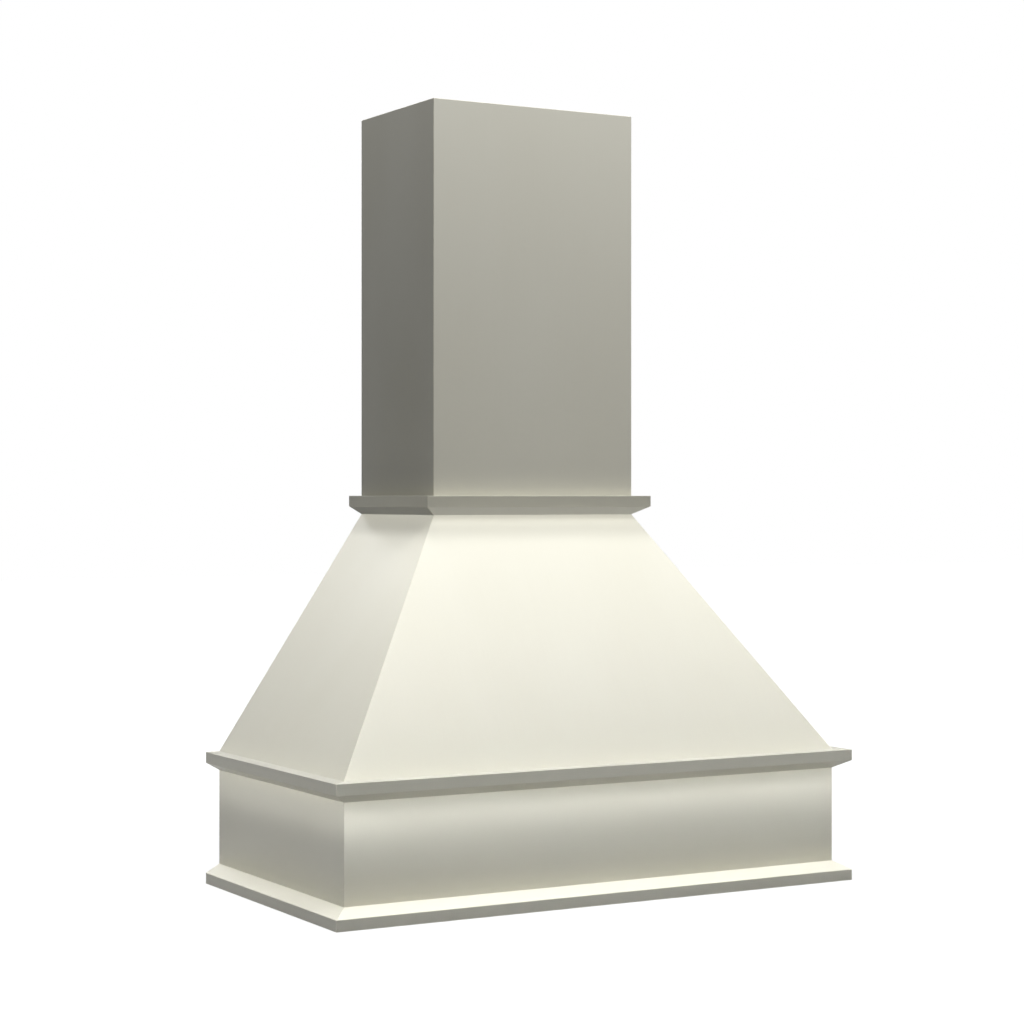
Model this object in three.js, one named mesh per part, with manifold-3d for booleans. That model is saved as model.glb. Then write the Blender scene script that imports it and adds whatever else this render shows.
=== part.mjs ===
// A wooden cover for a wall-mounted range hood: a boxed band with a bevelled trim below and above
// it, a sloping canopy, and a square chimney that hides the duct. The back is open to the wall and
// the underside takes a hood liner. Millimetres, +Z up, the room at -Y, the wall at +Y, and the
// origin at the middle of the footprint on the underside.
import * as THREE from "three";
import { mergeVertices } from "three/addons/utils/BufferGeometryUtils.js";
import Module from "manifold-3d";

const wasm = await Module();
wasm.setup();

// ---- Driving dimensions ----

// The outside, which the room sees
const hoodWidth = 914.4; // over the band: 36 in
const hoodDepth = 482.6; // band's front face to the wall: 19 in
const bandHeight = 220.5; // underside to the foot of the canopy
const canopyRise = 396.75; // foot of the canopy to its top edge
const chimneyWidth = 384;
const chimneyDepth = 268; // chimney's front face to the wall
const chimneyHeight = 682.75;

// The trim strip: one section, used three times
const trimHeight = 31.75; // 1 1/4 in
const trimFace = 18.25; // its upright face, and the rest of the height is bevel
const trimDepth = 24; // how far it stands out from the boards

// Stock
const bandBoard = 19; // solid boards of the band
const panelPly = 12.7; // canopy and chimney panels: 1/2 in plywood
const deckPly = 19; // the level deck under the chimney
const railBoard = 19; // rails that are screwed to the wall
const batten = 19; // square battens

// Framing inside
const bandRailHeight = 100;
const railHeight = 76; // rails in the canopy and the chimney
const ledgerHeight = 38; // strips that carry the liner
const ledgerRise = 12.7; // underside of the hood to the ledgers
const cornerBlock = 38; // legs of the triangular glue blocks
const hipBatten = 38; // legs of the battens behind the canopy's hips
const ribDepth = 38; // stiffener behind the canopy's front panel
const topBattenHeight = 38; // battens that meet the ceiling
const ductHole = 210; // passes a round duct of 203.2 mm (8 in)

// Holes in the rails
const wallHole = 6; // clearance for a wall screw
const wallHoleEdge = 25; // least distance from a wall hole to the rail's end
const bandHolePitch = 203.2; // 8 in: some holes meet studs at 16 in wherever the hood falls
const canopyHolePitch = 152.4; // 6 in
const chimneyHolePitch = 101.6; // 4 in
const pocketHole = 9.5; // slanting holes for the screws into a rail's ends
const pocketReach = 40; // rail's end to where the axis of a pocket breaks out
const pocketStop = 9; // rail's end to the bottom of a pocket
const pocketInset = 20; // rail's edges to the pockets

// Screws and angle brackets
const screwLength = 30;
const screwShank = 4.2;
const screwHead = 8;
const screwHeadDepth = 2.6;
const screwPoint = 5;
const ledgerScrewInset = 100; // ledger's end to the nearest screw
const footScrewInset = 50; // foot batten's end to the nearest screw
const bracketLeg = 40;
const bracketWidth = 16;
const bracketSteel = 2;
const bracketHole = 4.5;
const bracketHoleReach = 26; // bend to the middle of each hole
const deckBracketGap = 4; // duct hole to the side of a deck bracket

const glueLine = 0.3; // left between pieces that meet
const roundSides = 12; // facets of a small hole or a screw
const ductSides = 40; // facets of the duct hole

// ---- What follows from them ----

const bandRailFoot = bandHeight - bandRailHeight;
const canopyTop = bandHeight + canopyRise;
const deckBottom = canopyTop - deckPly;
const hoodTop = canopyTop + chimneyHeight;
const mitreGap = glueLine / Math.SQRT2; // length given up by each end of a mitre
const sides = { left: -1, right: 1 };

// Free space between the band's boards, and between the chimney's panels. The wall is at y = 0.
const bandHalf = hoodWidth / 2 - bandBoard - glueLine;
const bandFront = -hoodDepth + bandBoard + glueLine;
const chimneyHalf = chimneyWidth / 2 - panelPly - glueLine;
const chimneyFront = -chimneyDepth + panelPly + glueLine;
const railFace = -railBoard - glueLine; // free space in front of any rail
const chimneyFoot = canopyTop + glueLine;
const footBattenTop = chimneyFoot + batten;
const topBattenFoot = hoodTop - topBattenHeight;

// The canopy leans in at the sides and at the front, so its panels are thicker measured level.
const sideRun = (hoodWidth - chimneyWidth) / 2;
const frontRun = hoodDepth - chimneyDepth;
const sideLevel = panelPly * Math.hypot(1, sideRun / canopyRise);
const frontLevel = panelPly * Math.hypot(1, frontRun / canopyRise);

// ---- Finishes ----

const finish = (color, roughness, metalness = 0) =>
  new THREE.MeshStandardMaterial({ color, roughness, metalness });
const paint = finish(0xf0ede1, 0.45);
const plywood = finish(0xd9bd92, 0.7);
const softwood = finish(0xdcb883, 0.75);
const zincSteel = finish(0xb9bcc0, 0.35, 1);
const brassySteel = finish(0xc9b27a, 0.35, 1);

// ---- Placing pieces ----

const hood = new THREE.Group();
hood.position.y = (hoodDepth + trimDepth) / 2;

function add(name, geometry, material, x = 0, y = 0, z = 0, turn = 0) {
  const mesh = new THREE.Mesh(geometry, material.clone());
  mesh.name = name;
  mesh.position.set(x, y, z);
  mesh.rotation.z = turn;
  hood.add(mesh);
  return mesh;
}

// A box between two opposite corners.
function addBox(name, material, from, to) {
  const size = from.map((value, i) => Math.abs(to[i] - value));
  const middle = from.map((value, i) => (to[i] + value) / 2);
  return add(name, new THREE.BoxGeometry(...size), material, ...middle);
}

// ---- Boards that run round the front and the two sides ----

// A board along X, with its face on y = 0 and the room at -y. Its section's points are
// [out towards the room, up], and a mitred end grows by as much as a point lies out.
function strip(section, length, mitreLeft, mitreRight) {
  const shape = new THREE.Shape(section.map(([out, up]) => new THREE.Vector2(-out, up)));
  const geometry = new THREE.ExtrudeGeometry(shape, { depth: length, bevelEnabled: false });
  geometry.applyMatrix4(new THREE.Matrix4().makeBasis(alongY, alongZ, alongX));
  geometry.translate(-length / 2, 0, 0);
  const points = geometry.getAttribute("position");
  for (let i = 0; i < points.count; i++) {
    const way = Math.sign(points.getX(i));
    const growth = -points.getY(i) - mitreGap;
    if (way < 0 ? mitreLeft : mitreRight) points.setX(i, points.getX(i) + way * growth);
  }
  return geometry;
}

// Three boards of one section round a footprint of this width and depth, mitred at its corners.
function surround(name, section, width, depth) {
  const quarter = Math.PI / 2;
  const left = strip(section, depth, false, true);
  const right = strip(section, depth, true, false);
  add(`${name}_front`, strip(section, width, true, true), paint, 0, -depth);
  add(`${name}_left`, left, paint, -width / 2, -depth / 2, 0, -quarter);
  add(`${name}_right`, right, paint, width / 2, -depth / 2, 0, quarter);
}

function boardSection(thickness, foot, top) {
  return [[0, foot], [0, top], [-thickness, top], [-thickness, foot]];
}

// The trim's bevel falls away below its upright face, or above it where the strip is turned over.
function trimSection(foot, faceFoot) {
  const top = foot + trimHeight;
  const faceTop = faceFoot + trimFace;
  return [[glueLine, foot], [trimDepth, faceFoot], [trimDepth, faceTop], [glueLine, top]];
}

// ---- Solids between two level outlines ----

// Both outlines have the same number of corners and run counterclockwise seen from above.
function loft(outlineAt, foot, top) {
  const lower = outlineAt(foot);
  const upper = outlineAt(top);
  const corners = lower.length;
  const flat = lower.map(([x, y]) => new THREE.Vector2(x, y));
  const faces = THREE.ShapeUtils.triangulateShape(flat, []).flatMap(([a, b, c]) => [
    [a, c, b],
    [a + corners, b + corners, c + corners],
  ]);
  for (let i = 0; i < corners; i++) {
    const next = (i + 1) % corners;
    faces.push([i, next, next + corners], [i, next + corners, i + corners]);
  }
  const points = [...lower.map((p) => [...p, foot]), ...upper.map((p) => [...p, top])];
  const geometry = new THREE.BufferGeometry();
  geometry.setAttribute("position", new THREE.Float32BufferAttribute(points.flat(), 3));
  geometry.setIndex(faces.flat());
  geometry.computeVertexNormals();
  return geometry;
}

// The same outline on the other side of the centre line, still counterclockwise.
const mirrored = (outlineAt) => (z) => outlineAt(z).map(([x, y]) => [-x, y]).reverse();

// ---- Cutting ----

const alongX = new THREE.Vector3(1, 0, 0);
const alongY = new THREE.Vector3(0, 1, 0);
const alongZ = new THREE.Vector3(0, 0, 1);

function toSolid(geometry) {
  const bare = geometry.clone();
  bare.deleteAttribute("normal");
  bare.deleteAttribute("uv");
  const merged = mergeVertices(bare, 1e-4);
  const vertProperties = merged.getAttribute("position").array;
  const triVerts = new Uint32Array(merged.index.array);
  return new wasm.Manifold(new wasm.Mesh({ numProp: 3, vertProperties, triVerts }));
}

function toGeometry(solid) {
  const { vertProperties, triVerts } = solid.getMesh();
  const geometry = new THREE.BufferGeometry();
  geometry.setAttribute("position", new THREE.BufferAttribute(vertProperties, 3));
  geometry.setIndex(new THREE.BufferAttribute(triVerts, 1));
  geometry.computeVertexNormals();
  return geometry;
}

// Takes a tool, given in the hood's own frame, out of a placed piece.
function cut(mesh, tool) {
  mesh.updateMatrix();
  const local = tool.clone().applyMatrix4(mesh.matrix.clone().invert());
  mesh.geometry = toGeometry(toSolid(mesh.geometry).subtract(toSolid(local)));
}

// A round bar centred on a point.
function bar(diameter, length, axis, centre, facets = roundSides) {
  const turn = new THREE.Quaternion().setFromUnitVectors(alongY, axis.clone().normalize());
  const geometry = new THREE.CylinderGeometry(diameter / 2, diameter / 2, length, facets);
  return geometry.applyQuaternion(turn).translate(...centre);
}

// ---- Screws ----

// A countersunk screw pointing down from z = 0, or the hole that it fits with room all round.
function screwShape(room = 0) {
  const shank = screwShank / 2 + room;
  const head = screwHead / 2 + room;
  const profile = [
    [0, -screwLength - room],
    [shank, -screwLength - room + screwPoint],
    [shank, -screwHeadDepth - room],
    [head, -room],
    [head, 2 * room],
    [0, 2 * room],
  ];
  const corners = room ? profile : profile.toSpliced(4, 1);
  const lathe = new THREE.LatheGeometry(corners.map((p) => new THREE.Vector2(...p)), roundSides);
  return lathe.rotateX(Math.PI / 2);
}

// Drives a screw through the first piece into the second, its head just below the surface.
function driveScrew(name, head, direction, pieces) {
  const turn = new THREE.Quaternion().setFromUnitVectors(alongZ, direction.clone().negate());
  const seat = new THREE.Vector3(...head).addScaledVector(direction, glueLine);
  const screw = add(name, screwShape(), brassySteel, ...seat);
  screw.quaternion.copy(turn);
  const hole = screwShape(glueLine).applyQuaternion(turn).translate(...seat);
  for (const piece of pieces) cut(piece, hole);
}

// ---- Rails ----

// Clearance holes for the wall screws, spread from the centre line to near the rail's ends, and
// pockets for the screws that hold those ends.
function drillRail(rail, pitch, foot, top, halfAt) {
  const middle = (foot + top) / 2;
  const count = Math.floor((halfAt(middle) - wallHoleEdge) / pitch);
  for (let i = -count; i <= count; i++) {
    cut(rail, bar(wallHole, 3 * railBoard, alongY, [i * pitch, -railBoard / 2, middle]));
  }
  for (const z of [foot + pocketInset, top - pocketInset]) drillPockets(rail, z, halfAt(z));
}

// A slanting blind hole near each end, from the room side to the middle of the thickness.
function drillPockets(rail, z, half) {
  for (const way of Object.values(sides)) {
    const bottom = new THREE.Vector3(way * (half - pocketStop), -railBoard / 2, z);
    const mouth = new THREE.Vector3(way * (half - pocketReach), -railBoard, z);
    const axis = bottom.clone().sub(mouth);
    cut(rail, bar(pocketHole, 2 * axis.length(), axis, mouth));
  }
}

// ---- Band ----

function makeBand() {
  const corniceFoot = bandHeight - trimHeight;
  surround("band", boardSection(bandBoard, 0, bandHeight), hoodWidth, hoodDepth);
  surround("base_trim", trimSection(0, 0), hoodWidth, hoodDepth);
  surround("cornice", trimSection(corniceFoot, bandHeight - trimFace), hoodWidth, hoodDepth);
}

function makeBandRail() {
  const [from, to] = [[-bandHalf, -railBoard, bandRailFoot], [bandHalf, 0, bandHeight]];
  const rail = addBox("band_rail", softwood, from, to);
  drillRail(rail, bandHolePitch, bandRailFoot, bandHeight, () => bandHalf);
}

// Four strips round the inside of the band, which carry the flange of a hood liner.
function makeLedgers() {
  const foot = ledgerRise;
  const top = foot + ledgerHeight;
  const middle = (foot + top) / 2;
  const face = bandFront + batten;
  const front = addBox("liner_ledger_front", softwood, [-bandHalf, bandFront, foot], [bandHalf, face, top]);
  const back = addBox("liner_ledger_back", softwood, [-bandHalf, -batten, foot], [bandHalf, 0, top]);
  drillPockets(back, middle, bandHalf);
  const frontBoards = [front, hood.getObjectByName("band_front")];
  [-1, 0, 1].forEach((place, i) => {
    const head = [place * (bandHalf - ledgerScrewInset), face, middle];
    driveScrew(`ledger_screw_front_${i + 1}`, head, alongY.clone().negate(), frontBoards);
  });
  for (const [side, way] of Object.entries(sides)) {
    const inner = way * (bandHalf - batten);
    const [from, to] = [face + glueLine, -batten - glueLine];
    const name = `liner_ledger_${side}`;
    const ledger = addBox(name, softwood, [way * bandHalf, from, foot], [inner, to, top]);
    const boards = [ledger, hood.getObjectByName(`band_${side}`)];
    [from + ledgerScrewInset, to - ledgerScrewInset].forEach((y, i) => {
      const outwards = new THREE.Vector3(way, 0, 0);
      driveScrew(`ledger_screw_${side}_${i + 1}`, [inner, y, middle], outwards, boards);
    });
  }
}

function makeCornerBlocks() {
  const foot = ledgerRise + ledgerHeight + glueLine;
  const corner = () => [
    [-bandHalf, bandFront],
    [-bandHalf + cornerBlock, bandFront],
    [-bandHalf, bandFront + cornerBlock],
  ];
  add("band_corner_block_left", loft(corner, foot, bandHeight), softwood);
  add("band_corner_block_right", loft(mirrored(corner), foot, bandHeight), softwood);
}

// ---- Canopy ----

// The outside of the canopy at a height: half its width, and its distance from the wall.
function canopyAt(z) {
  const share = (z - bandHeight) / canopyRise;
  return [hoodWidth / 2 - sideRun * share, hoodDepth - frontRun * share];
}

// The free space behind its panels at a height.
function insideCanopyAt(z) {
  const [half, depth] = canopyAt(z);
  return [half - sideLevel - glueLine, depth - frontLevel - glueLine];
}

function makeCanopyPanels() {
  const front = (z) => {
    const [half, depth] = canopyAt(z);
    const outer = half - mitreGap;
    const inner = outer - sideLevel;
    return [[-outer, -depth], [outer, -depth], [inner, -depth + frontLevel], [-inner, -depth + frontLevel]];
  };
  const right = (z) => {
    const [half, depth] = canopyAt(z);
    const outer = -depth + mitreGap;
    return [[half, outer], [half, 0], [half - sideLevel, 0], [half - sideLevel, outer + frontLevel]];
  };
  const foot = bandHeight + glueLine;
  add("canopy_front", loft(front, foot, canopyTop), paint);
  add("canopy_left", loft(mirrored(right), foot, canopyTop), paint);
  add("canopy_right", loft(right, foot, canopyTop), paint);
}

// Battens in the two hips, and a rib up the middle of the front panel.
function makeCanopyFraming() {
  const foot = bandHeight + glueLine;
  const top = deckBottom - glueLine;
  const hip = (z) => {
    const [half, depth] = insideCanopyAt(z);
    return [[-half, -depth], [-half + hipBatten, -depth], [-half, -depth + hipBatten]];
  };
  const rib = (z) => {
    const [, depth] = insideCanopyAt(z);
    const half = batten / 2;
    return [[-half, -depth], [half, -depth], [half, -depth + ribDepth], [-half, -depth + ribDepth]];
  };
  add("hip_batten_left", loft(hip, foot, top), softwood);
  add("hip_batten_right", loft(mirrored(hip), foot, top), softwood);
  add("canopy_front_rib", loft(rib, foot, top), softwood);
}

// A level strip against the wall that fills the canopy from side to side.
function againstWall(depthAt) {
  return (z) => {
    const [half] = insideCanopyAt(z);
    const depth = depthAt(z);
    return [[-half, -depth], [half, -depth], [half, 0], [-half, 0]];
  };
}

function makeCanopyRail() {
  const top = deckBottom - glueLine;
  const foot = top - railHeight;
  const rail = add("canopy_rail", loft(againstWall(() => railBoard), foot, top), softwood);
  drillRail(rail, canopyHolePitch, foot, top, (z) => insideCanopyAt(z)[0]);
}

// The duct passes midway between the chimney's lower rail and its front foot batten.
function makeDuctDeck() {
  const outline = againstWall((z) => insideCanopyAt(z)[1]);
  const deck = add("duct_deck", loft(outline, deckBottom, canopyTop), plywood);
  const ductLine = (railFace + chimneyFront + batten) / 2;
  const centre = [0, ductLine, deckBottom + deckPly / 2];
  cut(deck, bar(ductHole, 3 * deckPly, alongZ, centre, ductSides));
}

// ---- Chimney ----

function makeChimney() {
  const faceFoot = canopyTop + trimHeight - trimFace;
  surround("chimney", boardSection(panelPly, chimneyFoot, hoodTop), chimneyWidth, chimneyDepth);
  surround("upper_trim", trimSection(canopyTop, faceFoot), chimneyWidth, chimneyDepth);
}

function makeChimneyRails() {
  const feet = { chimney_lower_rail: chimneyFoot, chimney_upper_rail: hoodTop - railHeight };
  for (const [name, foot] of Object.entries(feet)) {
    const top = foot + railHeight;
    const rail = addBox(name, softwood, [-chimneyHalf, -railBoard, foot], [chimneyHalf, 0, top]);
    drillRail(rail, chimneyHolePitch, foot, top, () => chimneyHalf);
  }
}

// Three battens round the inside of the chimney, in front of its rail.
function battenRing(name, foot, top) {
  const inner = chimneyHalf - batten;
  const face = chimneyFront + batten;
  const sideFront = face + glueLine;
  addBox(`${name}_front`, softwood, [-chimneyHalf, chimneyFront, foot], [chimneyHalf, face, top]);
  addBox(`${name}_left`, softwood, [-chimneyHalf, sideFront, foot], [-inner, railFace, top]);
  addBox(`${name}_right`, softwood, [inner, sideFront, foot], [chimneyHalf, railFace, top]);
}

// The lower ring is screwed down to the deck, and the chimney drops over it.
function screwFootBattens() {
  const down = alongZ.clone().negate();
  const deck = hood.getObjectByName("duct_deck");
  const line = chimneyHalf - batten / 2;
  const front = hood.getObjectByName("foot_batten_front");
  Object.values(sides).forEach((way, i) => {
    const head = [way * (chimneyHalf - footScrewInset), chimneyFront + batten / 2, footBattenTop];
    driveScrew(`foot_screw_front_${i + 1}`, head, down, [front, deck]);
  });
  for (const [side, way] of Object.entries(sides)) {
    const foot = hood.getObjectByName(`foot_batten_${side}`);
    const [from, to] = [chimneyFront + batten + glueLine, railFace];
    [from + footScrewInset, to - footScrewInset].forEach((y, i) => {
      driveScrew(`foot_screw_${side}_${i + 1}`, [way * line, y, footBattenTop], down, [foot, deck]);
    });
  }
}

function makeChimneyCorners() {
  const inner = chimneyHalf - batten;
  const [foot, top] = [footBattenTop + glueLine, topBattenFoot - glueLine];
  for (const [side, way] of Object.entries(sides)) {
    const from = [way * inner, chimneyFront, foot];
    const to = [way * chimneyHalf, chimneyFront + batten, top];
    addBox(`chimney_corner_batten_${side}`, softwood, from, to);
  }
}

// ---- Steel angle brackets ----

// Two drilled legs that run along two directions from a bend at the origin.
function bracketShape(firstLeg, secondLeg) {
  const outline = [
    [0, 0],
    [bracketLeg, 0],
    [bracketLeg, bracketSteel],
    [bracketSteel, bracketSteel],
    [bracketSteel, bracketLeg],
    [0, bracketLeg],
  ];
  const shape = new THREE.Shape(outline.map((p) => new THREE.Vector2(...p)));
  const blank = new THREE.ExtrudeGeometry(shape, { depth: bracketWidth, bevelEnabled: false });
  blank.translate(0, 0, -bracketWidth / 2);
  const through = 3 * bracketSteel;
  const holes = [
    bar(bracketHole, through, alongY, [bracketHoleReach, 0, 0]),
    bar(bracketHole, through, alongX, [0, bracketHoleReach, 0]),
  ];
  const solid = holes.reduce((steel, hole) => steel.subtract(toSolid(hole)), toSolid(blank));
  const across = firstLeg.clone().cross(secondLeg);
  const place = new THREE.Matrix4().makeBasis(firstLeg, secondLeg, across);
  return toGeometry(solid).applyMatrix4(place);
}

// The band's brackets sit between its rail's wall holes and its lower pockets, and the deck's on
// either side of the duct.
function makeBrackets() {
  const forwards = alongY.clone().negate();
  const down = alongZ.clone().negate();
  const level = bandRailFoot + (bandRailHeight / 2 + pocketInset) / 2;
  const place = ductHole / 2 + deckBracketGap + bracketWidth / 2;
  for (const [side, way] of Object.entries(sides)) {
    const inwards = new THREE.Vector3(-way, 0, 0);
    const bandBend = [way * bandHalf, railFace, level];
    const deckBend = [way * place, railFace, deckBottom - glueLine];
    add(`band_bracket_${side}`, bracketShape(inwards, forwards), zincSteel, ...bandBend);
    add(`deck_bracket_${side}`, bracketShape(forwards, down), zincSteel, ...deckBend);
  }
}

// ---- Assembly ----

makeBand();
makeBandRail();
makeLedgers();
makeCornerBlocks();
makeCanopyPanels();
makeCanopyFraming();
makeCanopyRail();
makeDuctDeck();
makeChimney();
makeChimneyRails();
battenRing("foot_batten", chimneyFoot, footBattenTop);
battenRing("top_batten", topBattenFoot, hoodTop);
screwFootBattens();
makeChimneyCorners();
makeBrackets();

export default hood;
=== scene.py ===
import random
from functools import partial
from math import cos, floor, hypot, pi, radians, sin

import bmesh
import bpy
from mathutils import Matrix, Vector


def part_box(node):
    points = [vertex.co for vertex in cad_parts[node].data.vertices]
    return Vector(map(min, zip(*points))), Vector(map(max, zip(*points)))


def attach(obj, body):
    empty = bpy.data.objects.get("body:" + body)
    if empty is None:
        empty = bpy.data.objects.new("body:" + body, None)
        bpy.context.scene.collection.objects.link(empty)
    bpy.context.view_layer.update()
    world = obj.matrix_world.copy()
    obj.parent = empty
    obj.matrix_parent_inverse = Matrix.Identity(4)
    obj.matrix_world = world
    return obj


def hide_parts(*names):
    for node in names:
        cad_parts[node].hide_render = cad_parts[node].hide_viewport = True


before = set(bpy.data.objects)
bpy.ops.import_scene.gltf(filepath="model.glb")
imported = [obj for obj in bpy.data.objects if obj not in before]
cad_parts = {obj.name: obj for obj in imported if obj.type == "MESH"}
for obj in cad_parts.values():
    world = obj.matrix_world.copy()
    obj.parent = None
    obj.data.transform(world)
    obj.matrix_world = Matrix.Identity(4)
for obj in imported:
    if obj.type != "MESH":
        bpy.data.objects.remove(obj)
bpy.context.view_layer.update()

scene = bpy.context.scene
mm = 0.001
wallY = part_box("band_rail")[1].y  # the plane of the wall
sideWay = {"left": -1, "right": 1}
rightwards, backwards, upwards = Vector((1, 0, 0)), Vector((0, 1, 0)), Vector((0, 0, 1))
sharpAngle = radians(35)
sameWay = 0.999  # the least dot product of two directions that count as one
endward = 0.6  # and of the grain and a face that shows its end
noiseLow, noiseHigh = 0.2, 0.8  # a noise seldom leaves this range
dice = random.Random(36)


# for the helpers below, a node's input takes a plain value or another node's output

def fill(socket, value):
    if isinstance(value, bpy.types.NodeSocket):
        socket.id_data.links.new(value, socket)
    else:
        socket.default_value = value


def addNode(tree, kind, inputs=None, **settings):
    node = tree.nodes.new(kind)
    for name, value in settings.items():
        setattr(node, name, value)
    for name, value in (inputs or {}).items():
        fill(node.inputs[name], value)
    return node


def outputOf(tree, kind, inputs=None, output=0, **settings):
    return addNode(tree, kind, inputs, **settings).outputs[output]


# the same for a node that takes other nodes' outputs, in their tree
def derived(kind, inputs, output=0, **settings):
    taken = next(value for value in inputs.values() if isinstance(value, bpy.types.NodeSocket))
    return outputOf(taken.id_data, kind, inputs, output, **settings)


def calc(operation, *values):
    return derived("ShaderNodeMath", dict(enumerate(values)), operation=operation)


plus, minus, times, over = (
    partial(calc, operation) for operation in ("ADD", "SUBTRACT", "MULTIPLY", "DIVIDE"))


def vectorCalc(operation, *values, output=0):
    return derived("ShaderNodeVectorMath", dict(enumerate(values)), output, operation=operation)


def blendColour(amount, low, high, mode="MIX"):
    inputs = {0: amount, 6: low, 7: high}
    return derived("ShaderNodeMix", inputs, 2, data_type="RGBA", blend_type=mode)


# a smooth step of a value, from start at low to end at high
def fade(value, low, high, start=0.0, end=1.0):
    inputs = {"Value": value, "From Min": low, "From Max": high, "To Min": start, "To Max": end}
    return derived("ShaderNodeMapRange", inputs, interpolation_type="SMOOTHSTEP")


# a noise brought from its usual range to one from start to end
def ranged(noise, start, end):
    return fade(noise, noiseLow, noiseHigh, start, end)


# noise whose features are by metres long along each axis
def noiseOf(place, by, detail=2.0, output=0):
    finer = tuple(1 / size for size in by)
    inputs = {"Vector": vectorCalc("MULTIPLY", place, finer), "Scale": 1.0, "Detail": detail}
    return derived("ShaderNodeTexNoise", inputs, output)


lookSockets = [("Colour", "Color"), ("Roughness", "Float"), ("Height", "Float")]


def newGroup(name, inputs, outputs=lookSockets, kind="ShaderNodeTree"):
    tree = bpy.data.node_groups.new(name, kind)
    for side, sockets in (("INPUT", inputs), ("OUTPUT", outputs)):
        for label, form, *value in sockets:
            socket = tree.interface.new_socket(label, in_out=side, socket_type="NodeSocket" + form)
            if value:
                socket.default_value = value[0]
    return addNode(tree, "NodeGroupInput").outputs, addNode(tree, "NodeGroupOutput").inputs


# fills a group's outputs in their order and gives back its tree
def endGroup(give, *values):
    for socket, value in zip(give, values):
        fill(socket, value)
    return give[0].id_data


def srgb(red, green, blue):
    def toLinear(value):
        value /= 255
        return value / 12.92 if value <= 0.04045 else ((value + 0.055) / 1.055) ** 2.4
    return toLinear(red), toLinear(green), toLinear(blue), 1.0


rings = {  # noises by their length in metres along the grain and across it
    "wander": (0.35, 0.09, 0.09), "uneven": (0.8, 0.03, 0.03),
    "fibre": (0.05, 0.0008, 0.0008), "cloud": (0.3, 0.03, 0.03),
    "unevenness": 2.6,  # rings that the uneven noise can shift
    "lateStart": 0.35, "lateFull": 0.9, "lateEnd": 0.93,  # the dark part of a ring's width
    "lateTone": 0.7, "endTone": 0.7, "lateHeight": 0.2, "lateGloss": -0.3,
}


# growth rings round a pith that runs along the board's x, with fibres and a darker end grain
def buildTimberFigure():
    given, give = newGroup("timberFigure", [
        ("Place", "Vector"), ("Early wood", "Color"), ("Late wood", "Color"),
        ("Ring width", "Float", 0.0035), ("Waviness", "Float", 0.006), ("End grain", "Float"),
    ])
    place = given["Place"]
    uneven, fibre, cloud = (noiseOf(place, rings[kind]) for kind in ("uneven", "fibre", "cloud"))
    wander = vectorCalc("SUBTRACT", noiseOf(place, rings["wander"], output=1), (0.5, 0.5, 0.5))
    bent = vectorCalc("MULTIPLY_ADD", wander, given["Waviness"], place)
    radius = vectorCalc("LENGTH", vectorCalc("MULTIPLY", bent, (0, 1, 1)), output="Value")
    part = calc("FRACT", plus(over(radius, given["Ring width"]), times(uneven, rings["unevenness"])))
    rising = fade(part, rings["lateStart"], rings["lateFull"])
    late = times(rising, fade(part, rings["lateEnd"], 1.0, 1.0, 0.0))
    base = blendColour(times(late, rings["lateTone"]), given["Early wood"], given["Late wood"])
    tone = plus(ranged(fibre, 0.9, 1.06), ranged(cloud, -0.05, 0.05))
    darker = times(tone, fade(given["End grain"], 0.0, 1.0, 1.0, rings["endTone"]))
    roughness = fade(plus(fibre, times(late, rings["lateGloss"])), 0.1, 0.8, 0.6, 0.8)
    height = plus(fibre, times(late, rings["lateHeight"]))
    return endGroup(give, blendColour(1.0, base, darker, "MULTIPLY"), roughness, height)


plies = {
    "swirl": (0.55, 0.11, 0.5), "pores": (0.018, 0.0009, 0.0009),
    "cloud": (0.25, 0.12, 0.1), "speckle": (0.0012, 0.0012, 0.0007),
    "swirlTurns": 95.0,  # radians of light and dark over the swirl noise
    "figureTone": 0.55, "glueTone": 0.8, "seam": 0.12,  # a seam is a share of a ply's thickness
    "crossDepth": -0.5,
}


# plies that alternate through the sheet's z, and a rotary-cut figure on its two faces
def buildSheetFigure():
    given, give = newGroup("sheetFigure", [
        ("Place", "Vector"), ("Thickness", "Float", 0.0127), ("Plies", "Float", 9.0),
        ("Face", "Color"), ("Figure", "Color"), ("Cross ply", "Color"), ("Glue", "Color"),
    ])
    place = given["Place"]
    depth = derived("ShaderNodeSeparateXYZ", {0: place}, "Z")
    level = times(over(depth, given["Thickness"]), given["Plies"])
    crossing = calc("GREATER_THAN", calc("MODULO", calc("ABSOLUTE", level), 2.0), 1.0)
    nearest = calc("ROUND", level)
    inner = times(calc("GREATER_THAN", nearest, 0.5), calc("LESS_THAN", nearest, minus(given["Plies"], 0.5)))
    away = calc("ABSOLUTE", minus(level, nearest))
    seam = times(fade(away, 0.0, plies["seam"], 1.0, 0.0), inner)
    bands = calc("SINE", times(noiseOf(place, plies["swirl"], 1.5), plies["swirlTurns"]))
    pores, cloud, speckle = (noiseOf(place, plies[kind]) for kind in ("pores", "cloud", "speckle"))
    face = blendColour(fade(bands, -1.0, 1.0, 0.0, plies["figureTone"]), given["Face"], given["Figure"])
    cross = blendColour(fade(speckle, 0.3, 0.7, 0.0, 0.35), given["Cross ply"], given["Glue"])
    layers = blendColour(crossing, face, cross)
    glued = blendColour(times(seam, plies["glueTone"]), layers, given["Glue"])
    tone = plus(ranged(pores, 0.93, 1.05), ranged(cloud, -0.04, 0.04))
    return endGroup(give, blendColour(1.0, glued, tone, "MULTIPLY"), ranged(pores, 0.6, 0.76),
                    plus(pores, times(crossing, plies["crossDepth"])))


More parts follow.
